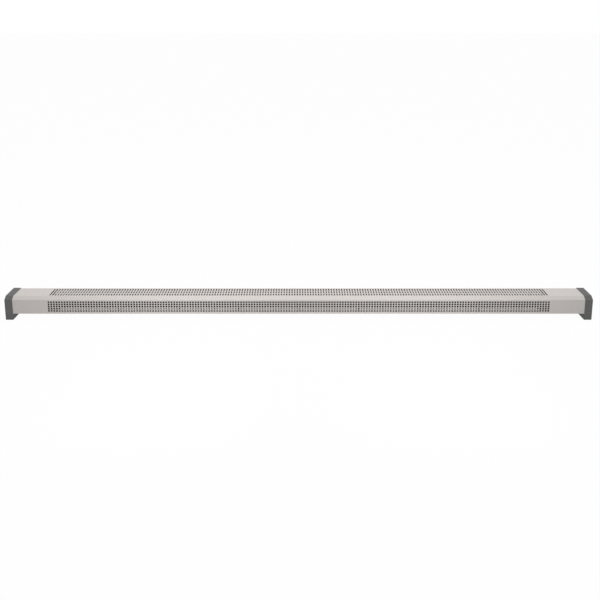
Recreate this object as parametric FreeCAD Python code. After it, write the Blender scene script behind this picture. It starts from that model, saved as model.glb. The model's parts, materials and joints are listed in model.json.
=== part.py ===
import FreeCAD, Part
import math
import os

# Plinth heater: a long, low convector that stands on its two end caps.
# Millimetres. X runs along the heater, the perforated front faces -Y and +Z is up.
# The origin is on the floor at the middle of the footprint.

Vector = FreeCAD.Vector

# Overall form
overall_length = 2000.0     # between the outer faces of the two end caps
casing_depth = 57.0         # front face to rear face
casing_height = 60.6        # underside to flat top
casing_bevel = 9.6          # leg of the bevel along the front top edge
foot_height = 20.8          # floor to the underside of the casing
sheet = 1.0                 # steel sheet of casing and chassis
fold_radius = 2.0           # outside radius of every fold
front_lip = 14.0            # casing lip turned in under the front
rear_lip = 12.0             # casing lip turned down over the back wall
fold_gap = 0.3              # gap between a sheet's edge and a fold beside it

# End caps
cap_width = 26.0
cap_proud = 1.0             # how far a cap stands out all round the casing
cap_wall = 4.0              # closed outer end of a cap
cap_fit = 0.2               # gap round the casing inside a cap
cap_end_gap = 0.5           # gap between the casing's end and the closed end
cap_rounding = 0.8          # outer edges of a cap
foot_wall = 3.0             # wall round the hollow foot
foot_roof = 2.5             # thickness between the hollow foot and the casing

# Perforation
plain_end = 146.0           # unperforated length at each end
column_pitch = 9.1
hole_side = 6.1             # square holes of the front
hole_row_pitch = 7.9
hole_margin_low = 6.05      # from the lower fold to the first row
hole_margin_high = 2.0      # least distance from the last row to the bevel's fold
slot_width = 4.6            # slots of the top run front to back
slot_length = 10.8
slot_row_pitch = 14.5
long_slot_columns = 2       # at each end, where one slot runs through all rows
slot_margin_front = 1.2     # from the bevel's fold to the first row
slot_margin_rear = 2.0      # least distance from the last row to the rear fold

# Air intake in the base
intake_length = 201.5
intake_width = 3.0
intake_pitch = 207.5
intake_rows = 2
intake_row_pitch = 8.3
intake_first_y = -9.0       # middle of the front row
intake_end_margin = 20.0    # least distance from a bulkhead

# Bulkheads, hangers and reflector
terminal_bay = 134.0        # length of the closed compartment at each end
bracket_sheet = 1.2
bulkhead_gap = 0.3
bulkhead_corner = 1.6       # cut-off corner beside the base's fold
bulkhead_flange = 12.0
bulkhead_flange_front = -14.0
bulkhead_flange_rear = 16.0
hanger_pitch = 290.0
hanger_front = 11.0         # from the element's axis to the front edge
hanger_low = 5.0            # lower edge above the base
hanger_high = 4.0           # upper edge above the sensor tube
hanger_flange = 13.0
hanger_flange_low = 14.0    # flange's lower edge above the base
hanger_flange_height = 17.0
reflector_sheet = 0.5
reflector_low = 13.0        # lower edge above the base
reflector_height = 37.0
reflector_end_gap = 12.0    # from a bulkhead

# Rivets
rivet_radius = 1.6
rivet_head_radius = 3.0
rivet_head = 1.0
rivet_rounding = 0.5        # rim of a head
rivet_gap = 0.1
hanger_rivet_spread = 9.0
bulkhead_rivet_spread = 18.0

# Heating element
element_height = 29.0       # axis above the casing's underside
sheath_radius = 4.25
sheath_wall = 0.8
core_gap = 0.05
sheath_reach = 19.0         # beyond the outer face of a bulkhead
fin_radius = 13.0
fin_thickness = 0.6
fin_pitch = 6.0
fin_sleeve = 0.4
fin_gap = 0.05
fin_clearance = 4.0         # from a bush to the first fin
bush_radius = 6.8
bush_flange_radius = 9.0
bush_flange = 2.0
bush_nose = 2.0             # reach beyond the far side of the plate
bush_gap = 0.2
bead_length = 8.0
bead_gap = 0.05
pin_radius = 2.0
pin_spare = 2.0             # thread showing beyond the nut
nut_flats = 7.0
nut_height = 3.2
nut_gap = 0.1

# Ring lugs and wires
lug_ring_radius = 4.5
lug_plate = 0.8
lug_barrel_radius = 2.2
lug_barrel_start = 4.45
lug_barrel_length = 8.0
lug_grip = 5.0              # depth of the wire in a lug
wire_radius = 1.3
wire_gap = 0.15
wire_bend = 6.0
wire_lane = 20.0            # Y of the wires that run along the back wall
wire_hole_gap = 0.4

# Overheat cut-out
cutout_length = 28.0
cutout_depth = 24.0
cutout_height = 20.0
cutout_cap_gap = 1.0        # from the inner edge of the cap
cutout_rear_gap = 2.0       # from the back wall
cutout_wire_height = 14.0   # switched wire above the base
live_lane = 6.0             # Y of the live wire
cutout_screw_inset = 3.5
button_y = 8.0
button_radius = 2.5
button_reach = 4.0          # below the base
button_travel = 2.0
button_gap = 0.3
button_collar_radius = 4.0
button_collar = 2.0
button_stem = 2.5           # above the collar
button_floor = 1.5          # wall below the collar's chamber
button_hole_gap = 1.0
sensor_radius = 1.5
sensor_gap = 0.2
sensor_y = 20.0
sensor_height = 53.1        # above the casing's underside
sensor_bend = 10.0
sensor_end_gap = 24.0       # from the far bulkhead

# Terminal block
block_start = 13.5          # from the bulkhead's outer face
block_depth = 18.0
block_height = 14.0
block_front_gap = 10.0      # from the casing's front
pole_pitch = 10.0
tube_radius = 3.0
tube_bore = 1.6
tube_gap = 0.1
tube_inset = 1.0
terminal_screw_offset = 4.5  # from the middle of a pole
terminal_screw_length = 4.0

# Screws
screw_radius = 1.75
screw_head_radius = 3.4
screw_head = 2.0
screw_rounding = 0.8        # rim of a head
screw_length = 8.0
thread_gap = 0.05
screw_hole_gap = 0.25
recess_width = 0.9
recess_depth = 1.1
recess_reach = 2.0
recess_share = 0.7          # most of a head's height or radius that a recess takes
casing_screw_pitch = 400.0
casing_screw_end = 100.0    # least distance from the casing's end
tab_depth = 14.0            # tabs on the chassis that the caps are screwed to
tab_low = 10.0              # above the base
tab_height = 36.0
cap_screw_spread = 22.0
small_screw_radius = 1.25
small_head_radius = 2.3
small_head = 1.4
small_rounding = 0.5
small_screw_length = 6.0

# Openings in the back wall
grommet_start = 71.0        # from the bulkhead's outer face
grommet_height = 34.0       # above the casing's underside
grommet_bore = 4.5
grommet_neck = 7.0
grommet_flange_radius = 9.0
grommet_flange = 1.6
grommet_gap = 0.1
earth_start = 56.0          # from the bulkhead's outer face
wall_hole_start = 13.0      # from the bulkhead's outer face
wall_hole_height = 18.0     # above the casing's underside
wall_hole_radius = 2.75

# Places worked out from the sizes above
half_length = overall_length / 2
front_y = -casing_depth / 2
rear_y = casing_depth / 2
casing_low = foot_height
casing_top = foot_height + casing_height
crease_z = casing_top - casing_bevel
bevel_top_y = front_y + casing_bevel
bevel_setback = fold_radius * math.tan(math.radians(22.5))
casing_half = half_length - cap_wall - cap_end_gap
cap_inner_x = half_length - cap_width
cap_depth = casing_depth + 2 * cap_proud
back_outer = rear_y - sheet
back_inner = back_outer - sheet
base_under = casing_low + sheet
base_top = base_under + sheet
chassis_top = casing_top - fold_radius - fold_gap
chassis_front = front_y + fold_radius + fold_gap
bulkhead_x = half_length - terminal_bay
bay_x = bulkhead_x + bracket_sheet
element_z = casing_low + element_height
reflector_face = back_inner - reflector_sheet
sensor_z = casing_low + sensor_height
column_count = int((overall_length - 2 * plain_end - hole_side) / column_pitch) + 1
columns = [(i - (column_count - 1) / 2) * column_pitch for i in range(column_count)]
hanger_count = int((bulkhead_x - hanger_pitch / 2) / hanger_pitch)
hanger_places = [i * hanger_pitch for i in range(-hanger_count, hanger_count + 1)]
pole_z = base_top + block_height / 2
block_x = bay_x + block_start
block_front = front_y + sheet + block_front_gap
poles = [block_x + (i + 0.5) * pole_pitch for i in range(3)]
cutout_x = cap_inner_x - cutout_cap_gap - cutout_length
cutout_rear = back_inner - cutout_rear_gap
cutout_front = cutout_rear - cutout_depth
cutout_mid_x = cutout_x + cutout_length / 2
sheath_end = bay_x + sheath_reach
bead_end = sheath_end + bead_length
lug_x = bead_end + lug_plate / 2
pin_end = bead_end + lug_plate + nut_height + pin_spare
earth_x = bay_x + earth_start
grommet_x = bay_x + grommet_start
grommet_z = casing_low + grommet_height
wall_hole_x = bay_x + wall_hole_start
wall_hole_z = casing_low + wall_hole_height
tab_y = back_inner - tab_depth / 2
tab_z = base_top + tab_low + tab_height / 2
along_x = Vector(1, 0, 0)
along_y = Vector(0, 1, 0)
along_z = Vector(0, 0, 1)


# Basic shapes

def block(low, high):
    return Part.makeBox(high[0] - low[0], high[1] - low[1], high[2] - low[2], Vector(*low))


def rod(start, direction, radius, length):
    return Part.makeCylinder(radius, length, start, direction)


def ring(start, direction, outer, inner, length):
    return rod(start, direction, outer, length).cut(rod(start, direction, inner, length))


def joined(solids):
    return solids[0].multiFuse(solids[1:]).removeSplitter()


def mirrored(shape):
    return shape.mirror(Vector(0, 0, 0), along_x)


def outline(points):
    return Part.makePolygon(list(points) + [points[0]])


def rectangle(corner, side, up):
    return outline([corner, corner + side, corner + side + up, corner + up])


def plate_yz(x, points, thickness):
    face = Part.Face(outline([Vector(x, y, z) for y, z in points]))
    return face.extrude(Vector(thickness, 0, 0))


def rounded_path(points, radius):
    edges = []
    start = points[0]
    for before, corner, after in zip(points, points[1:], points[2:]):
        arriving = (corner - before).normalize()
        leaving = (after - corner).normalize()
        half_turn = arriving.getAngle(leaving) / 2
        setback = radius * math.tan(half_turn)
        arc_start = corner - arriving * setback
        arc_end = corner + leaving * setback
        bulge = radius * (1 / math.cos(half_turn) - 1)
        arc_middle = corner + (leaving - arriving).normalize() * bulge
        edges.append(Part.LineSegment(start, arc_start).toShape())
        edges.append(Part.Arc(arc_start, arc_middle, arc_end).toShape())
        start = arc_end
    edges.append(Part.LineSegment(start, points[-1]).toShape())
    return edges


# A sheet folded along X: the corners run clockwise round its outside, as seen from +X with +Y to the right

def folded_sheet(corners, half):
    outer = [Vector(-half, y, z) for y, z in corners]
    runs = [(b - a).normalize() for a, b in zip(outer, outer[1:])]
    inward = [Vector(0, run.z, -run.y) for run in runs]
    inner = [outer[0] + inward[0] * sheet]
    for corner, first, second in zip(outer[1:], inward, inward[1:]):
        inner.append(corner + (first + second) * (sheet / (1 + first.dot(second))))
    inner.append(outer[-1] + inward[-1] * sheet)
    edges = rounded_path(outer, fold_radius)
    edges.append(Part.LineSegment(outer[-1], inner[-1]).toShape())
    edges += rounded_path(inner[::-1], fold_radius - sheet)
    edges.append(Part.LineSegment(inner[0], outer[0]).toShape())
    return Part.Face(Part.Wire(edges)).extrude(Vector(2 * half, 0, 0))


# Fasteners stand on the seat under their head, with the direction pointing out of the head

def place(shape, seat, direction):
    shape.Placement = FreeCAD.Placement(seat, FreeCAD.Rotation(along_z, direction))
    return shape


def rounded_head(radius, height, rounding):
    head = rod(Vector(0, 0, 0), along_z, radius, height)
    rim = [edge for edge in head.Edges if edge.BoundBox.ZMin > height / 2]
    return head.makeFillet(min(rounding, height / 2), rim)


def cross_screw(seat, direction, radius, head_radius, head, rounding, length):
    body = rod(Vector(0, 0, -length), along_z, radius, length)
    body = body.fuse(rounded_head(head_radius, head, rounding)).removeSplitter()
    depth = min(recess_depth, head * recess_share)
    reach = min(recess_reach, head_radius * recess_share)
    wide = block((-reach, -recess_width / 2, head - depth), (reach, recess_width / 2, head))
    tall = block((-recess_width / 2, -reach, head - depth), (recess_width / 2, reach, head))
    return place(body.cut(wide.fuse(tall)), seat, direction)


def screw(seat, direction):
    sizes = (screw_radius, screw_head_radius, screw_head, screw_rounding, screw_length)
    return cross_screw(seat, direction, *sizes)


def small_screw(seat, direction):
    sizes = (small_screw_radius, small_head_radius, small_head, small_rounding, small_screw_length)
    return cross_screw(seat, direction, *sizes)


def rivet(seat, direction, grip):
    near = rounded_head(rivet_head_radius, rivet_head, rivet_rounding)
    far = near.mirror(Vector(0, 0, -grip / 2), along_z)
    body = rod(Vector(0, 0, -grip), along_z, rivet_radius, grip)
    return place(joined([body, near, far]), seat, direction)


def hex_nut(seat, direction, bore):
    corner_radius = nut_flats / math.sqrt(3)
    turns = [math.radians(60 * i) for i in range(6)]
    corners = [Vector(corner_radius * math.cos(a), corner_radius * math.sin(a), 0) for a in turns]
    body = Part.Face(outline(corners)).extrude(along_z * nut_height)
    return place(body.cut(rod(Vector(0, 0, 0), along_z, bore, nut_height)), seat, direction)


# Places shared by holes and by what goes through them

def casing_screw_seats():
    steps = int((casing_half - casing_screw_end) / casing_screw_pitch)
    y = front_y + front_lip / 2
    return [Vector(i * casing_screw_pitch, y, casing_low) for i in range(-steps, steps + 1)]


def cap_screw_heights():
    return [tab_z - cap_screw_spread / 2, tab_z + cap_screw_spread / 2]


def hanger_rivet_seats():
    middle = base_top + hanger_flange_low + hanger_flange_height / 2
    shift = bracket_sheet + (hanger_flange - bracket_sheet) / 2
    heights = [middle - hanger_rivet_spread / 2, middle + hanger_rivet_spread / 2]
    return [Vector(x + shift, back_outer, z) for x in hanger_places for z in heights]


def bulkhead_rivet_seats():
    x = bay_x + (bulkhead_flange - bracket_sheet) / 2
    middle = (bulkhead_flange_front + bulkhead_flange_rear) / 2
    depths = [middle - bulkhead_rivet_spread / 2, middle + bulkhead_rivet_spread / 2]
    return [Vector(side * x, y, base_under) for side in (-1, 1) for y in depths]


def cutout_screw_seats():
    y = cutout_rear - cutout_screw_inset
    xs = [cutout_x + cutout_screw_inset, cutout_x + cutout_length - cutout_screw_inset]
    return [Vector(x, y, base_under) for x in xs]


def block_screw_seats():
    y = block_front + block_depth / 2
    return [Vector(block_x + i * pole_pitch, y, base_under) for i in (1, 2)]


# Casing

def front_rows():
    first = casing_low + fold_radius + hole_margin_low + hole_side / 2
    last = crease_z - bevel_setback - hole_margin_high - hole_side / 2
    count = int((last - first) / hole_row_pitch) + 1
    return [first + i * hole_row_pitch for i in range(count)]


def top_rows():
    first = bevel_top_y + bevel_setback + slot_margin_front + slot_length / 2
    last = rear_y - fold_radius - slot_margin_rear - slot_length / 2
    count = int((last - first) / slot_row_pitch) + 1
    return [first + i * slot_row_pitch for i in range(count)]


def top_slots(column):
    slots = [(y - slot_length / 2, y + slot_length / 2) for y in top_rows()]
    if min(column, column_count - 1 - column) < long_slot_columns:
        slots = [(slots[0][0], slots[-1][1])]
    return slots


def perforation():
    half = hole_side / 2
    cuts = []
    for i, x in enumerate(columns):
        for z in front_rows():
            cuts.append(block((x - half, front_y, z - half), (x + half, front_y + sheet, z + half)))
        for front, rear in top_slots(i):
            low = (x - slot_width / 2, front, casing_top - sheet)
            cuts.append(block(low, (x + slot_width / 2, rear, casing_top)))
    return cuts


def casing():
    corners = [(front_y + front_lip, casing_low), (front_y, casing_low), (front_y, crease_z)]
    corners += [(bevel_top_y, casing_top), (rear_y, casing_top), (rear_y, casing_top - rear_lip)]
    screw_holes = [rod(seat, along_z, screw_radius + screw_hole_gap, sheet) for seat in casing_screw_seats()]
    return folded_sheet(corners, casing_half).cut(Part.makeCompound(perforation() + screw_holes))


# Chassis: back wall and base, with a tab at each end for the cap's screws

def intake_places():
    count = int((bulkhead_x - intake_end_margin) / intake_pitch)
    return [(i + 0.5) * intake_pitch for i in range(-count, count)]


def chassis_openings():
    cuts = []
    for x in intake_places():
        for row in range(intake_rows):
            y = intake_first_y + row * intake_row_pitch
            low = (x - intake_length / 2, y - intake_width / 2, base_under)
            cuts.append(block(low, (x + intake_length / 2, y + intake_width / 2, base_top)))
    for seat in casing_screw_seats():
        start = Vector(seat.x, seat.y, base_under)
        cuts.append(rod(start, along_z, screw_radius + thread_gap, sheet))
    for seat in bulkhead_rivet_seats():
        cuts.append(rod(seat, along_z, rivet_radius + rivet_gap, sheet))
    for seat in cutout_screw_seats() + block_screw_seats():
        cuts.append(rod(seat, along_z, small_screw_radius + screw_hole_gap, sheet))
    cuts.append(rod(button_axis(base_under), along_z, button_radius + button_hole_gap, sheet))
    for seat in hanger_rivet_seats():
        cuts.append(rod(seat, along_y * -1, rivet_radius + rivet_gap, sheet))
    earth = Vector(earth_x, back_outer, pole_z)
    cuts.append(rod(earth, along_y * -1, pin_radius + nut_gap, sheet))
    grommet = Vector(grommet_x, back_outer, grommet_z)
    cuts.append(rod(grommet, along_y * -1, grommet_neck + grommet_gap, sheet))
    for side in (-1, 1):
        fixing = Vector(side * wall_hole_x, back_outer, wall_hole_z)
        cuts.append(rod(fixing, along_y * -1, wall_hole_radius, sheet))
    return cuts


def chassis_tab():
    low = (casing_half - sheet, back_inner - tab_depth, base_top + tab_low)
    high = (casing_half, back_inner, base_top + tab_low + tab_height)
    tab = block(low, high)
    for z in cap_screw_heights():
        tab = tab.cut(rod(Vector(low[0], tab_y, z), along_x, screw_radius + thread_gap, sheet))
    return tab


def chassis():
    corners = [(back_outer, chassis_top), (back_outer, base_under), (chassis_front, base_under)]
    body = folded_sheet(corners, casing_half).cut(Part.makeCompound(chassis_openings()))
    tab = chassis_tab()
    return joined([body, tab, mirrored(tab)])


# End cap: a closed sleeve over the casing's end, with a hollow foot below

def cap_outline(grow, low):
    bevel = casing_bevel + grow * (2 - math.sqrt(2))
    near = front_y - grow
    far = rear_y + grow
    top = casing_top + grow
    return [(near, low), (far, low), (far, top), (near + bevel, top), (near, top - bevel)]


def end_cap():
    body = plate_yz(cap_inner_x, cap_outline(cap_proud, 0.0), cap_width)
    outer = [e for e in body.Edges if e.BoundBox.XMax > cap_inner_x + cap_fit]
    rounded = [e for e in outer if e.BoundBox.ZMax > foot_height]
    body = body.makeFillet(min(cap_rounding, cap_proud - cap_fit), rounded)
    body = body.cut(plate_yz(cap_inner_x, cap_outline(cap_fit, casing_low - cap_fit), cap_width - cap_wall))
    low = (cap_inner_x + foot_wall, -cap_depth / 2 + foot_wall, 0.0)
    high = (half_length - foot_wall, cap_depth / 2 - foot_wall, casing_low - cap_fit - foot_roof)
    body = body.cut(block(low, high))
    for z in cap_screw_heights():
        inside = Vector(half_length - cap_wall, tab_y, z)
        body = body.cut(rod(inside, along_x, screw_radius + screw_hole_gap, cap_wall))
        seat = Vector(half_length - screw_head, tab_y, z)
        body = body.cut(rod(seat, along_x, screw_head_radius + screw_hole_gap, screw_head))
    return body


def end_cap_screws():
    right = [screw(Vector(half_length - screw_head, tab_y, z), along_x) for z in cap_screw_heights()]
    return Part.makeCompound(right + [mirrored(s) for s in right])


def casing_screws():
    return Part.makeCompound([screw(seat, along_z * -1) for seat in casing_screw_seats()])


# Bulkheads, hangers, reflector and rivets

def element_axis(x):
    return Vector(x, 0, element_z)


def threaded_plate(plate, x, thickness):
    plate = plate.cut(rod(element_axis(x), along_x, bush_radius + bush_gap, thickness))
    wire = Vector(x, wire_lane, pole_z)
    plate = plate.cut(rod(wire, along_x, wire_radius + wire_hole_gap, thickness))
    sensor = Vector(x, sensor_y, sensor_z)
    return plate.cut(rod(sensor, along_x, sensor_radius + sensor_gap, thickness))


def bulkhead():
    near = front_y + sheet + bulkhead_gap
    far = back_inner - bulkhead_gap
    top = casing_top - sheet - bulkhead_gap
    bevel_line = crease_z - front_y - (sheet + bulkhead_gap) * math.sqrt(2)
    points = [(near, base_top), (far - bulkhead_corner, base_top), (far, base_top + bulkhead_corner)]
    points += [(far, top), (top - bevel_line, top), (near, near + bevel_line)]
    plate = plate_yz(bulkhead_x, points, bracket_sheet)
    low = (bulkhead_x, bulkhead_flange_front, base_top)
    high = (bulkhead_x + bulkhead_flange, bulkhead_flange_rear, base_top + bracket_sheet)
    plate = joined([plate, block(low, high)])
    for seat in bulkhead_rivet_seats():
        start = Vector(seat.x, seat.y, base_top)
        plate = plate.cut(rod(start, along_z, rivet_radius + rivet_gap, bracket_sheet))
    return threaded_plate(plate, bulkhead_x, bracket_sheet)


def element_hangers():
    hangers = []
    flange_face = reflector_face - bracket_sheet
    flange_low = base_top + hanger_flange_low
    flange_high = flange_low + hanger_flange_height
    for x in hanger_places:
        plate_low = (x, -hanger_front, base_top + hanger_low)
        plate = block(plate_low, (x + bracket_sheet, reflector_face, sensor_z + hanger_high))
        flange = block((x, flange_face, flange_low), (x + hanger_flange, reflector_face, flange_high))
        hanger = joined([plate, flange])
        for seat in hanger_rivet_seats():
            start = Vector(seat.x, flange_face, seat.z)
            hanger = hanger.cut(rod(start, along_y, rivet_radius + rivet_gap, bracket_sheet))
        hangers.append(threaded_plate(hanger, x, bracket_sheet))
    return Part.makeCompound(hangers)


def heat_reflector():
    half = bulkhead_x - reflector_end_gap
    low = base_top + reflector_low
    body = block((-half, reflector_face, low), (half, back_inner, low + reflector_height))
    holes = []
    for seat in hanger_rivet_seats():
        start = Vector(seat.x, reflector_face, seat.z)
        holes.append(rod(start, along_y, rivet_radius + rivet_gap, reflector_sheet))
    return body.cut(Part.makeCompound(holes))


def rivets():
    wall_grip = sheet + reflector_sheet + bracket_sheet
    solids = [rivet(seat, along_y, wall_grip) for seat in hanger_rivet_seats()]
    solids += [rivet(seat, along_z * -1, sheet + bracket_sheet) for seat in bulkhead_rivet_seats()]
    return Part.makeCompound(solids)


# Heating element

def element_bush(x, direction):
    seat = element_axis(x)
    flange = rod(seat - direction * bush_flange, direction, bush_flange_radius, bush_flange)
    body = flange.fuse(rod(seat, direction, bush_radius, bracket_sheet + bush_nose)).removeSplitter()
    start = seat - direction * bush_flange
    length = bush_flange + bracket_sheet + bush_nose
    return body.cut(rod(start, direction, sheath_radius + bush_gap, length))


def element_bushes():
    bushes = [element_bush(x, along_x) for x in hanger_places]
    right = element_bush(bulkhead_x, along_x)
    return Part.makeCompound(bushes + [right, mirrored(right)])


def fin_span(start, end):
    inner = sheath_radius + fin_gap
    sleeve = inner + fin_sleeve
    count = int((end - start - fin_thickness) / fin_pitch) + 1
    first = (start + end - (count - 1) * fin_pitch - fin_thickness) / 2
    points = [Vector(first, inner, 0)]
    for i in range(count):
        near = first + i * fin_pitch
        if i > 0:
            points.append(Vector(near, sleeve, 0))
        points.append(Vector(near, fin_radius, 0))
        points.append(Vector(near + fin_thickness, fin_radius, 0))
        if i < count - 1:
            points.append(Vector(near + fin_thickness, sleeve, 0))
    points.append(Vector(points[-1].x, inner, 0))
    span = Part.Face(outline(points)).revolve(Vector(0, 0, 0), along_x, 360)
    span.translate(Vector(0, 0, element_z))
    return span


def element_fins():
    ends = [-bulkhead_x] + hanger_places + [bulkhead_x]
    spans = []
    for left, right in zip(ends, ends[1:]):
        start = left + bracket_sheet + bush_nose + fin_clearance
        spans.append(fin_span(start, right - bush_flange - fin_clearance))
    return Part.makeCompound(spans)


def element_sheath():
    inner = sheath_radius - sheath_wall
    return ring(element_axis(-sheath_end), along_x, sheath_radius, inner, 2 * sheath_end)


def element_core():
    radius = sheath_radius - sheath_wall - core_gap
    return rod(element_axis(-sheath_end), along_x, radius, 2 * sheath_end)


def element_beads():
    bead = ring(element_axis(sheath_end), along_x, sheath_radius, pin_radius + bead_gap, bead_length)
    return Part.makeCompound([bead, mirrored(bead)])


def element_pins():
    pin = rod(element_axis(sheath_end), along_x, pin_radius, pin_end - sheath_end)
    return Part.makeCompound([pin, mirrored(pin)])


def pin_nuts():
    nut = hex_nut(element_axis(bead_end + lug_plate), along_x, pin_radius + nut_gap)
    return Part.makeCompound([nut, mirrored(nut)])


# Ring lugs: an eye round a pin and a barrel that holds a wire

def ring_lug(eye, axis, barrel):
    start = eye - axis * (lug_plate / 2)
    plate = rod(start, axis, lug_ring_radius, lug_plate)
    arm = rod(eye + barrel * lug_barrel_start, barrel, lug_barrel_radius, lug_barrel_length)
    neck_side = axis.cross(barrel) * lug_barrel_radius
    neck_start = start - neck_side
    neck_length = lug_barrel_start + lug_barrel_length / 2
    neck = Part.Face(rectangle(neck_start, neck_side * 2, barrel * neck_length)).extrude(axis * lug_plate)
    body = joined([plate, neck, arm])
    body = body.cut(rod(start, axis, pin_radius + nut_gap, lug_plate))
    mouth = eye + barrel * (lug_barrel_start + lug_barrel_length - lug_grip)
    return body.cut(rod(mouth, barrel, wire_radius + wire_gap, lug_grip))


def lug_wire_end(eye, barrel):
    return eye + barrel * (lug_barrel_start + lug_barrel_length - lug_grip)


def earth_eye():
    return Vector(earth_x, back_inner - nut_height - lug_plate / 2, pole_z)


def wire_lugs():
    right = ring_lug(element_axis(lug_x), along_x, along_y)
    earth = ring_lug(earth_eye(), along_y, along_x * -1)
    return Part.makeCompound([right, mirrored(right), earth])


# Wires

def insulated_wire(points):
    path = Part.Wire(rounded_path(points, wire_bend))
    start = (points[1] - points[0]).normalize()
    section = Part.Wire(Part.Circle(points[0], start, wire_radius).toShape())
    return path.makePipeShell([section], True, False)


def pole_middle(index):
    return Vector(poles[index], block_front + block_depth / 2, pole_z)


def live_wire():
    start = pole_middle(2)
    return insulated_wire([start, Vector(start.x, live_lane, pole_z), Vector(cutout_x, live_lane, pole_z)])


def switched_wire():
    start = lug_wire_end(element_axis(lug_x), along_y)
    height = base_top + cutout_wire_height
    drop = element_z - height
    points = [start, Vector(lug_x, wire_lane, element_z)]
    points.append(Vector(cutout_x - 2 * wire_bend - 2 * drop, wire_lane, element_z))
    points.append(Vector(cutout_x - 2 * wire_bend, wire_lane, height))
    points.append(Vector(cutout_x, wire_lane, height))
    return insulated_wire(points)


def neutral_wire():
    start = pole_middle(0)
    points = [start, Vector(start.x, wire_lane, pole_z), Vector(-lug_x, wire_lane, pole_z)]
    points.append(Vector(-lug_x, wire_lane, element_z))
    points.append(lug_wire_end(element_axis(-lug_x), along_y))
    return insulated_wire(points)


def earth_wire():
    start = pole_middle(1)
    end = lug_wire_end(earth_eye(), along_x * -1)
    return insulated_wire([start, Vector(start.x, end.y, pole_z), end])


# Terminal block

def terminal_screw_seats():
    height = pole_z + wire_radius + wire_gap + terminal_screw_length
    middle = block_front + block_depth / 2
    depths = [middle - terminal_screw_offset, middle + terminal_screw_offset]
    return [Vector(x, y, height) for x in poles for y in depths]


def terminal_block():
    low = (block_x, block_front, base_top)
    high = (block_x + 3 * pole_pitch, block_front + block_depth, base_top + block_height)
    body = block(low, high)
    for x in poles:
        body = body.cut(rod(Vector(x, block_front, pole_z), along_y, tube_radius + tube_gap, block_depth))
    for seat in terminal_screw_seats():
        start = Vector(seat.x, seat.y, pole_z)
        body = body.cut(rod(start, along_z, small_head_radius + screw_hole_gap, block_height / 2))
    for seat in block_screw_seats():
        start = Vector(seat.x, seat.y, base_top)
        depth = small_screw_length - sheet
        body = body.cut(rod(start, along_z, small_screw_radius + thread_gap, depth))
    return body


def terminal_tubes():
    tubes = []
    for x in poles:
        start = Vector(x, block_front + tube_inset, pole_z)
        tubes.append(ring(start, along_y, tube_radius, tube_bore, block_depth - 2 * tube_inset))
    holes = []
    for seat in terminal_screw_seats():
        start = Vector(seat.x, seat.y, pole_z)
        holes.append(rod(start, along_z, small_screw_radius + thread_gap, tube_radius))
    return Part.makeCompound([tube.cut(Part.makeCompound(holes)) for tube in tubes])


def terminal_screws():
    sizes = (small_screw_radius, small_head_radius, small_head, small_rounding, terminal_screw_length)
    return Part.makeCompound([cross_screw(seat, along_z, *sizes) for seat in terminal_screw_seats()])


def block_screws():
    return Part.makeCompound([small_screw(seat, along_z * -1) for seat in block_screw_seats()])


# Overheat cut-out: the reset button is pushed up from below the base

def button_axis(z):
    return Vector(cutout_mid_x, button_y, z)


def cutout_body():
    low = (cutout_x, cutout_front, base_top)
    body = block(low, (cutout_x + cutout_length, cutout_rear, base_top + cutout_height))
    body = body.cut(rod(button_axis(base_top), along_z, button_radius + button_gap, button_floor))
    chamber = 2 * button_gap + button_collar + button_stem + button_travel
    start = button_axis(base_top + button_floor)
    body = body.cut(rod(start, along_z, button_collar_radius + button_gap, chamber))
    for seat in cutout_screw_seats():
        start = Vector(seat.x, seat.y, base_top)
        body = body.cut(rod(start, along_z, small_screw_radius + thread_gap, small_screw_length - sheet))
    return body


def reset_button():
    tip = base_under - button_reach
    collar = base_top + button_floor + button_gap
    length = collar + button_collar + button_stem - tip
    body = rod(button_axis(tip), along_z, button_radius, length)
    return body.fuse(rod(button_axis(collar), along_z, button_collar_radius, button_collar)).removeSplitter()


def cutout_screws():
    return Part.makeCompound([small_screw(seat, along_z * -1) for seat in cutout_screw_seats()])


def sensor_tube():
    end = Vector(cutout_mid_x, sensor_y, base_top + cutout_height)
    start = Vector(-bulkhead_x + sensor_end_gap, sensor_y, sensor_z)
    path = Part.Wire(rounded_path([start, Vector(end.x, sensor_y, sensor_z), end], sensor_bend))
    section = Part.Wire(Part.Circle(start, along_x, sensor_radius).toShape())
    return path.makePipeShell([section], True, False)


# Earth screw and cable inlet

def earth_screw():
    seat = Vector(earth_x, back_outer, pole_z)
    length = sheet + 2 * nut_height + lug_plate + pin_spare
    sizes = (pin_radius, screw_head_radius, screw_head, screw_rounding, length)
    return cross_screw(seat, along_y, *sizes)


def earth_nuts():
    inward = along_y * -1
    wall_side = Vector(earth_x, back_inner, pole_z)
    lug_side = wall_side + inward * (nut_height + lug_plate)
    return Part.makeCompound([hex_nut(seat, inward, pin_radius + nut_gap) for seat in (wall_side, lug_side)])


def cable_grommet():
    outside = Vector(grommet_x, back_outer, grommet_z)
    inside = Vector(grommet_x, back_inner - grommet_flange, grommet_z)
    length = sheet + 2 * grommet_flange
    body = rod(outside, along_y, grommet_flange_radius, grommet_flange)
    body = body.fuse(rod(inside, along_y, grommet_neck, length - grommet_flange))
    body = body.fuse(rod(inside, along_y, grommet_flange_radius, grommet_flange)).removeSplitter()
    return body.cut(rod(inside, along_y, grommet_bore, length))


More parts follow.
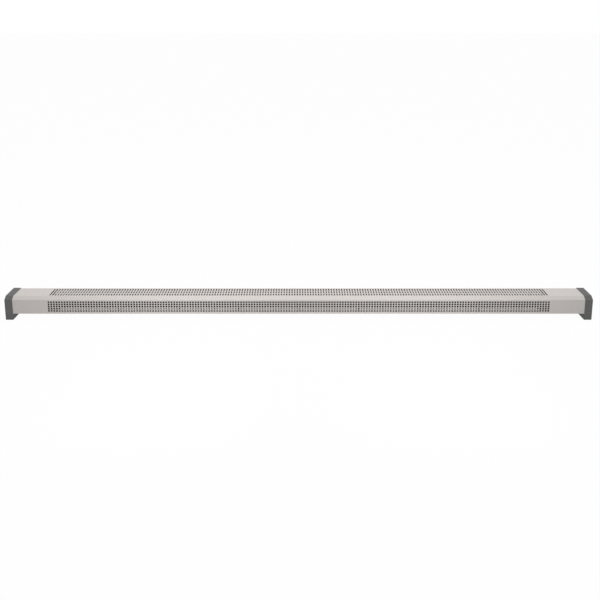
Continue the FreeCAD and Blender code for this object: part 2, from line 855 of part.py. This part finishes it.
pieces = {
    "casing": casing,
    "chassis": chassis,
    "end_cap_right": end_cap,
    "end_cap_left": lambda: mirrored(end_cap()),
    "end_cap_screws": end_cap_screws,
    "casing_screws": casing_screws,
    "bulkhead_right": bulkhead,
    "bulkhead_left": lambda: mirrored(bulkhead()),
    "element_hangers": element_hangers,
    "heat_reflector": heat_reflector,
    "rivets": rivets,
    "element_sheath": element_sheath,
    "element_core": element_core,
    "element_fins": element_fins,
    "element_bushes": element_bushes,
    "element_beads": element_beads,
    "element_pins": element_pins,
    "pin_nuts": pin_nuts,
    "wire_lugs": wire_lugs,
    "live_wire": live_wire,
    "switched_wire": switched_wire,
    "neutral_wire": neutral_wire,
    "earth_wire": earth_wire,
    "terminal_block": terminal_block,
    "terminal_tubes": terminal_tubes,
    "terminal_screws": terminal_screws,
    "block_screws": block_screws,
    "cutout_body": cutout_body,
    "reset_button": reset_button,
    "cutout_screws": cutout_screws,
    "sensor_tube": sensor_tube,
    "earth_screw": earth_screw,
    "earth_nuts": earth_nuts,
    "cable_grommet": cable_grommet,
}

os.makedirs("parts", exist_ok=True)
for name, make in pieces.items():
    shape = make()
    shape.exportStep("parts/" + name + ".step")
    print(name, len(shape.Solids), "solids", round(shape.Volume), "cubic mm")
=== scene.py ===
import json
import math

import bmesh
import bpy
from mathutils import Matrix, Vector

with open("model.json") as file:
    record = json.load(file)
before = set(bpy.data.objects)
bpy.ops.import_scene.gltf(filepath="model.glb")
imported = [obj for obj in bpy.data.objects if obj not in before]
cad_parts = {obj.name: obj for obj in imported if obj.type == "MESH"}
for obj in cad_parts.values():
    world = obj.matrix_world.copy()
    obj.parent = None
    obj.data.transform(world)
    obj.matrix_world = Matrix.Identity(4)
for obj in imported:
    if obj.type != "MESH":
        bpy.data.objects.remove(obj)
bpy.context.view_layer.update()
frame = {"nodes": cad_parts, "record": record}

nodes = frame["nodes"]
scene = bpy.context.scene
scene.view_settings.view_transform = "Standard"
print("frame loaded:", len(nodes), "nodes")


# small helpers for node trees: a value is a plain one or the socket that gives it

def setInput(tree, socket, value):
    if isinstance(value, bpy.types.NodeSocket):
        tree.links.new(value, socket)
    else:
        socket.default_value = value


def addNode(tree, kind, values=None, **settings):
    node = tree.nodes.new(kind)
    for name, value in settings.items():
        setattr(node, name, value)
    for name, value in (values or {}).items():
        setInput(tree, node.inputs[name], value)
    return node


def addMath(tree, operation, *terms):
    node = addNode(tree, "ShaderNodeMath", operation=operation)
    for socket, term in zip(node.inputs, terms):
        setInput(tree, socket, term)
    return node.outputs[0]


def opaque(colour):
    return (*colour, 1)


def startGroup(name, inputs, outputs):
    group = bpy.data.node_groups.new(name, "ShaderNodeTree")
    for label, kind in inputs.items():
        group.interface.new_socket(label, in_out="INPUT", socket_type="NodeSocket" + kind)
    for label, kind in outputs.items():
        group.interface.new_socket(label, in_out="OUTPUT", socket_type="NodeSocket" + kind)
    return group, group.nodes.new("NodeGroupInput").outputs, group.nodes.new("NodeGroupOutput").inputs


def startMaterial(name):
    material = bpy.data.materials.new(name)
    material.use_nodes = True
    tree = material.node_tree
    place = addNode(tree, "ShaderNodeTexCoord")
    return material, tree, tree.nodes["Principled BSDF"], place.outputs["Object"]


def placeGroup(tree, group, vector, values):
    return addNode(tree, "ShaderNodeGroup", {"Vector": vector, **values}, node_tree=group)


def addBump(tree, shader, height, strength, distance):
    bump = addNode(tree, "ShaderNodeBump", {"Height": height, "Strength": strength, "Distance": distance})
    setInput(tree, shader.inputs["Normal"], bump.outputs["Normal"])


# fine grain and slow mottling of paint, plastic, ceramic and rubber

surfaceValues = {"Colour": "Color", "Roughness": "Float", "Height": "Float"}
noiseMiddle = 0.5
grainPattern = dict(detail=2.0, breakUp=0.6, patchScale=14.0, patchDetail=3.0, glossSwing=0.16)


def buildGrain(pattern):
    group, given, result = startGroup("fineGrain", {
        "Vector": "Vector", "Colour": "Color", "Grain Scale": "Float", "Speckle": "Float", "Mottle": "Float",
        "Roughness": "Float"}, surfaceValues)
    grain = addNode(group, "ShaderNodeTexNoise", {
        "Vector": given["Vector"], "Scale": given["Grain Scale"], "Detail": pattern["detail"],
        "Roughness": pattern["breakUp"]})
    patches = addNode(group, "ShaderNodeTexNoise", {
        "Vector": given["Vector"], "Scale": pattern["patchScale"], "Detail": pattern["patchDetail"]})
    grainSwing = addMath(group, "SUBTRACT", grain.outputs[0], noiseMiddle)
    patchSwing = addMath(group, "SUBTRACT", patches.outputs[0], noiseMiddle)
    speckled = addMath(group, "MULTIPLY_ADD", grainSwing, given["Speckle"], 1.0)
    shade = addMath(group, "MULTIPLY_ADD", patchSwing, given["Mottle"], speckled)
    tone = addNode(group, "ShaderNodeHueSaturation", {"Color": given["Colour"], "Value": shade})
    gloss = addMath(group, "MULTIPLY_ADD", patchSwing, pattern["glossSwing"], given["Roughness"])
    setInput(group, result["Colour"], tone.outputs["Color"])
    setInput(group, result["Roughness"], gloss)
    setInput(group, result["Height"], grain.outputs[0])
    return group


# rolled or plated metal: streaks along X, zinc flowers, dulled patches

metalPattern = dict(drawnScale=(6.0, 700.0, 700.0), streakDetail=2.0, patchScale=40.0, patchDetail=4.0,
                    patchStart=0.38, patchFull=0.68, dullRougher=0.25, bumpDepth=0.0001)


def buildMetal(pattern):
    group, given, result = startGroup("workedMetal", {
        "Vector": "Vector", "Colour": "Color", "Dull Colour": "Color", "Dull Amount": "Float",
        "Streak": "Float", "Flower Scale": "Float", "Flower": "Float", "Roughness": "Float"}, surfaceValues)
    drawn = addNode(group, "ShaderNodeMapping", {"Vector": given["Vector"], "Scale": pattern["drawnScale"]})
    streaks = addNode(group, "ShaderNodeTexNoise", {
        "Vector": drawn.outputs[0], "Scale": 1.0, "Detail": pattern["streakDetail"]})
    flowers = addNode(group, "ShaderNodeTexVoronoi", {
        "Vector": given["Vector"], "Scale": given["Flower Scale"]}, feature="F1")
    flowerTone = addNode(group, "ShaderNodeSeparateColor", {"Color": flowers.outputs["Color"]})
    patches = addNode(group, "ShaderNodeTexNoise", {
        "Vector": given["Vector"], "Scale": pattern["patchScale"], "Detail": pattern["patchDetail"]})
    spread = addNode(group, "ShaderNodeMapRange", {
        "Value": patches.outputs[0], "From Min": pattern["patchStart"], "From Max": pattern["patchFull"]})
    dulled = addMath(group, "MULTIPLY", spread.outputs[0], given["Dull Amount"])
    blend = addNode(group, "ShaderNodeMix", {
        "Factor": dulled, "A": given["Colour"], "B": given["Dull Colour"]}, data_type="RGBA")
    streakSwing = addMath(group, "SUBTRACT", streaks.outputs[0], noiseMiddle)
    flowerSwing = addMath(group, "SUBTRACT", flowerTone.outputs[0], noiseMiddle)
    streaked = addMath(group, "MULTIPLY_ADD", streakSwing, given["Streak"], 1.0)
    shade = addMath(group, "MULTIPLY_ADD", flowerSwing, given["Flower"], streaked)
    tone = addNode(group, "ShaderNodeHueSaturation", {"Color": blend.outputs["Result"], "Value": shade})
    rougher = addMath(group, "MULTIPLY_ADD", dulled, pattern["dullRougher"], given["Roughness"])
    setInput(group, result["Colour"], tone.outputs["Color"])
    setInput(group, result["Roughness"], rougher)
    setInput(group, result["Height"], streaks.outputs[0])
    return group


fineGrain = buildGrain(grainPattern)
workedMetal = buildMetal(metalPattern)


def joinSurface(tree, shader, surface, bump, bumpDepth):
    setInput(tree, shader.inputs["Base Color"], surface.outputs["Colour"])
    setInput(tree, shader.inputs["Roughness"], surface.outputs["Roughness"])
    addBump(tree, shader, surface.outputs["Height"], bump, bumpDepth)


def placeGrain(tree, vector, colour, finish):
    return placeGroup(tree, fineGrain, vector, {
        "Colour": colour, "Grain Scale": finish["grainScale"], "Speckle": finish["speckle"],
        "Mottle": finish["mottle"], "Roughness": finish["roughness"]})


def coatedFinish(name, finish):
    material, tree, shader, vector = startMaterial(name)
    grain = placeGrain(tree, vector, opaque(finish["colour"]), finish)
    joinSurface(tree, shader, grain, finish["bump"], finish["bumpDepth"])
    shader.inputs["Specular IOR Level"].default_value = finish["specular"]
    return material


def metalFinish(name, finish):
    material, tree, shader, vector = startMaterial(name)
    metal = placeGroup(tree, workedMetal, vector, {
        "Colour": opaque(finish["colour"]), "Dull Colour": opaque(finish["dullColour"]),
        "Dull Amount": finish["dull"], "Streak": finish["streak"], "Flower Scale": finish["flowerScale"],
        "Flower": finish["flower"], "Roughness": finish["roughness"]})
    joinSurface(tree, shader, metal, finish["bump"], metalPattern["bumpDepth"])
    shader.inputs["Metallic"].default_value = finish["metallic"]
    return material


coatings = {
    "casing_paint": dict(colour=(0.650, 0.613, 0.586), grainScale=900, speckle=0.05, mottle=0.03,
                         roughness=0.5, specular=0.35, bump=0.10, bumpDepth=0.0003),
    "cap_plastic": dict(colour=(0.125, 0.125, 0.124), grainScale=1600, speckle=0.3, mottle=0.05,
                        roughness=0.56, specular=0.4, bump=0.35, bumpDepth=0.0003),
    # near-black chassis paint: partly a real matt black heat-resistant paint, partly painted shade so the
    # inside of the casing reads dark through the holes
    "chassis_paint": dict(colour=(0.04, 0.04, 0.042), grainScale=800, speckle=0.25, mottle=0.12,
                          roughness=0.7, specular=0.2, bump=0.2, bumpDepth=0.0003),
    "ceramic_white": dict(colour=(0.80, 0.77, 0.71), grainScale=700, speckle=0.12, mottle=0.08,
                          roughness=0.6, specular=0.4, bump=0.15, bumpDepth=0.0003),
    "magnesia": dict(colour=(0.76, 0.75, 0.72), grainScale=1500, speckle=0.2, mottle=0.05,
                     roughness=0.8, specular=0.2, bump=0.3, bumpDepth=0.0003),
    "block_plastic": dict(colour=(0.76, 0.73, 0.66), grainScale=600, speckle=0.04, mottle=0.05,
                          roughness=0.45, specular=0.5, bump=0.06, bumpDepth=0.0002),
    "cutout_plastic": dict(colour=(0.035, 0.035, 0.038), grainScale=800, speckle=0.3, mottle=0.1,
                           roughness=0.42, specular=0.5, bump=0.12, bumpDepth=0.0002),
    "reset_red": dict(colour=(0.52, 0.025, 0.018), grainScale=700, speckle=0.06, mottle=0.06,
                      roughness=0.3, specular=0.5, bump=0.04, bumpDepth=0.0002),
    "brown_sleeve": dict(colour=(0.17, 0.06, 0.025), grainScale=500, speckle=0.1, mottle=0.1,
                         roughness=0.4, specular=0.5, bump=0.08, bumpDepth=0.0002),
    "heat_sleeve": dict(colour=(0.03, 0.03, 0.032), grainScale=1100, speckle=0.5, mottle=0.1,
                        roughness=0.6, specular=0.4, bump=0.3, bumpDepth=0.0004),
    "grommet_rubber": dict(colour=(0.028, 0.028, 0.028), grainScale=900, speckle=0.25, mottle=0.15,
                           roughness=0.72, specular=0.3, bump=0.2, bumpDepth=0.0003),
}
metals = {
    "screw_zinc": dict(colour=(0.66, 0.66, 0.65), dullColour=(0.5, 0.5, 0.47), dull=0.4, streak=0.05,
                       flowerScale=300, flower=0.05, roughness=0.3, metallic=1.0, bump=0.05),
    "reflector_sheet": dict(colour=(0.92, 0.92, 0.92), dullColour=(0.82, 0.81, 0.79), dull=0.3, streak=0.08,
                            flowerScale=40, flower=0.03, roughness=0.42, metallic=0.1, bump=0.08),
    "rivet_metal": dict(colour=(0.76, 0.76, 0.76), dullColour=(0.6, 0.6, 0.6), dull=0.4, streak=0.04,
                        flowerScale=250, flower=0.04, roughness=0.35, metallic=1.0, bump=0.05),
    "sheath_steel": dict(colour=(0.07, 0.066, 0.063), dullColour=(0.05, 0.042, 0.037), dull=0.7, streak=0.12,
                         flowerScale=60, flower=0.06, roughness=0.6, metallic=0.3, bump=0.08),
    "fin_steel": dict(colour=(0.045, 0.043, 0.042), dullColour=(0.034, 0.029, 0.026), dull=0.7, streak=0.05,
                      flowerScale=60, flower=0.08, roughness=0.7, metallic=0.2, bump=0.06),
    "terminal_brass": dict(colour=(0.78, 0.60, 0.30), dullColour=(0.48, 0.36, 0.19), dull=0.5, streak=0.06,
                           flowerScale=250, flower=0.05, roughness=0.32, metallic=1.0, bump=0.05),
    "sensor_steel": dict(colour=(0.42, 0.41, 0.40), dullColour=(0.26, 0.24, 0.22), dull=0.6, streak=0.08,
                         flowerScale=90, flower=0.05, roughness=0.45, metallic=0.8, bump=0.05),
}
finishes = {name: coatedFinish(name, finish) for name, finish in coatings.items()}
finishes.update({name: metalFinish(name, finish) for name, finish in metals.items()})


# green sleeve with a yellow stripe wound along the wire

stripedSleeve = dict(green=(0.06, 0.30, 0.05), yellow=(0.72, 0.52, 0.03), stripeScale=130.0, waver=0.6,
                     edgeStart=0.45, edgeFull=0.55, grainScale=500.0, speckle=0.1, mottle=0.1, roughness=0.4,
                     bump=0.08, bumpDepth=0.0002)


def buildStripedSleeve(settings):
    material, tree, shader, vector = startMaterial("green_sleeve")
    wave = addNode(tree, "ShaderNodeTexWave", {
        "Vector": vector, "Scale": settings["stripeScale"], "Distortion": settings["waver"]},
        wave_type="BANDS", bands_direction="DIAGONAL")
    edge = addNode(tree, "ShaderNodeMapRange", {
        "Value": wave.outputs[1], "From Min": settings["edgeStart"], "From Max": settings["edgeFull"]})
    stripe = addNode(tree, "ShaderNodeMix", {
        "Factor": edge.outputs[0], "A": opaque(settings["green"]), "B": opaque(settings["yellow"])},
        data_type="RGBA")
    grain = placeGrain(tree, vector, stripe.outputs["Result"], settings)
    joinSurface(tree, shader, grain, settings["bump"], settings["bumpDepth"])
    return material


finishes["green_sleeve"] = buildStripedSleeve(stripedSleeve)
print("finishes made:", len(finishes))


# every node takes the finish of its slot in the record

for part in frame["record"]["subparts"]:
    node = nodes[part["node"]]
    node.data.materials.clear()
    node.data.materials.append(finishes[part["material_slot"]])


# rounded corners of nuts, ceramics, rubber and small mouldings, which the solids leave sharp

softEdges = {
    "reset_button": dict(width=0.0006, segments=4), "cable_grommet": dict(width=0.0005, segments=3),
    "pin_nuts": dict(width=0.0003, segments=2), "earth_nuts": dict(width=0.0003, segments=2),
    "element_beads": dict(width=0.0004, segments=2), "element_bushes": dict(width=0.0004, segments=2),
    "cutout_body": dict(width=0.0006, segments=3), "terminal_block": dict(width=0.0004, segments=2),
}
softening = dict(sharpAngle=math.radians(40), flatAngle=math.radians(1), weldDistance=0.00002)


def softenEdges(node, edge, settings):
    weld = node.modifiers.new("joinTriangles", "WELD")
    weld.merge_threshold = settings["weldDistance"]
    flat = node.modifiers.new("flatFaces", "DECIMATE")
    flat.decimate_type = "DISSOLVE"
    flat.angle_limit = settings["flatAngle"]
    bevel = node.modifiers.new("softEdge", "BEVEL")
    bevel.width = edge["width"]
    bevel.segments = edge["segments"]
    bevel.limit_method = "ANGLE"
    bevel.angle_limit = settings["sharpAngle"]
    bevel.harden_normals = True


for name, edge in softEdges.items():
    softenEdges(nodes[name], edge, softening)
print("edges softened on:", len(softEdges), "nodes")


# floor and backdrop

studio = dict(floorSize=24.0, floorColour=(0.78, 0.78, 0.78), grainScale=60.0, speckle=0.01, mottle=0.01,
              roughness=0.9, white=(1.0, 1.0, 1.0), whiteStrength=1.0, whiteShare=0.975, skyLight=0.46)


# camera, glossy and transmitted rays see plain white, the others get the studio's light

def backgroundRay(tree):
    path = addNode(tree, "ShaderNodeLightPath").outputs
    seen = addMath(tree, "MAXIMUM", path["Is Camera Ray"], path["Is Glossy Ray"])
    return addMath(tree, "MAXIMUM", seen, path["Is Transmission Ray"])


def buildFloor(settings):
    mesh = bpy.data.meshes.new("studioFloor")
    build = bmesh.new()
    bmesh.ops.create_grid(build, x_segments=1, y_segments=1, size=settings["floorSize"])
    build.to_mesh(mesh)
    build.free()
    floor = bpy.data.objects.new("studioFloor", mesh)
    scene.collection.objects.link(floor)
    material, tree, shader, vector = startMaterial("studioPaper")
    grain = placeGrain(tree, vector, opaque(settings["floorColour"]), settings)
    setInput(tree, shader.inputs["Base Color"], grain.outputs["Colour"])
    shader.inputs["Roughness"].default_value = settings["roughness"]
    shader.inputs["Specular IOR Level"].default_value = 0.0
    white = addNode(tree, "ShaderNodeEmission", {
        "Color": opaque(settings["white"]), "Strength": settings["whiteStrength"]})
    share = addMath(tree, "MULTIPLY", backgroundRay(tree), settings["whiteShare"])
    mix = addNode(tree, "ShaderNodeMixShader", {"Fac": share})
    tree.links.new(shader.outputs[0], mix.inputs[1])
    tree.links.new(white.outputs[0], mix.inputs[2])
    tree.links.new(mix.outputs[0], tree.nodes["Material Output"].inputs["Surface"])
    mesh.materials.append(material)


def buildSky(settings):
    world = bpy.data.worlds.new("studioSky")
    world.use_nodes = True
    scene.world = world
    tree = world.node_tree
    light = tree.nodes["Background"]
    light.inputs["Color"].default_value = opaque(settings["white"])
    light.inputs["Strength"].default_value = settings["skyLight"]
    seen = addNode(tree, "ShaderNodeBackground", {
        "Color": opaque(settings["white"]), "Strength": settings["whiteStrength"]})
    mix = addNode(tree, "ShaderNodeMixShader", {"Fac": backgroundRay(tree)})
    tree.links.new(light.outputs[0], mix.inputs[1])
    tree.links.new(seen.outputs[0], mix.inputs[2])
    tree.links.new(mix.outputs[0], tree.nodes["World Output"].inputs["Surface"])


buildFloor(studio)
buildSky(studio)


# soft boxes

lamps = {
    "topBox": dict(place=(0.0, 0.1, 1.9), aim=(0.0, 0.0, 0.05), size=(3.2, 1.0), power=24.0),
    "leftBox": dict(place=(-0.4, -0.48, 0.25), aim=(-0.4, 0.0, 0.05), size=(0.45, 0.3), power=0.72),
    "rightBox": dict(place=(0.4, -0.48, 0.25), aim=(0.4, 0.0, 0.05), size=(0.45, 0.3), power=0.72),
}
for name, lamp in lamps.items():
    light = bpy.data.lights.new(name, "AREA")
    light.shape = "RECTANGLE"
    light.size, light.size_y = lamp["size"]
    light.energy = lamp["power"]
    box = bpy.data.objects.new(name, light)
    scene.collection.objects.link(box)
    box.location = lamp["place"]
    box.rotation_mode = "QUATERNION"
    box.rotation_quaternion = (Vector(lamp["aim"]) - Vector(lamp["place"])).to_track_quat("-Z", "Y")
print("studio lit:", len(lamps), "soft boxes")


# camera of the photograph: lens and shift in pixels of a 600 x 600 frame

view = dict(place=(0.0, -1.5895, 1.0405), pitchDown=7.551, focalPixels=492.95, framePixels=600.0,
            centreX=298.65, centreY=77.75, sensorWidth=36.0)
camera = bpy.data.cameras.new("photoCamera")
camera.sensor_width = view["sensorWidth"]
camera.lens = view["focalPixels"] / view["framePixels"] * camera.sensor_width
camera.shift_x = (view["framePixels"] / 2 - view["centreX"]) / view["framePixels"]
camera.shift_y = (view["centreY"] - view["framePixels"] / 2) / view["framePixels"]
cameraObject = bpy.data.objects.new("photoCamera", camera)
scene.collection.objects.link(cameraObject)
cameraObject.location = view["place"]
cameraObject.rotation_euler = (math.radians(90 - view["pitchDown"]), 0.0, 0.0)
scene.camera = cameraObject
print("camera set")
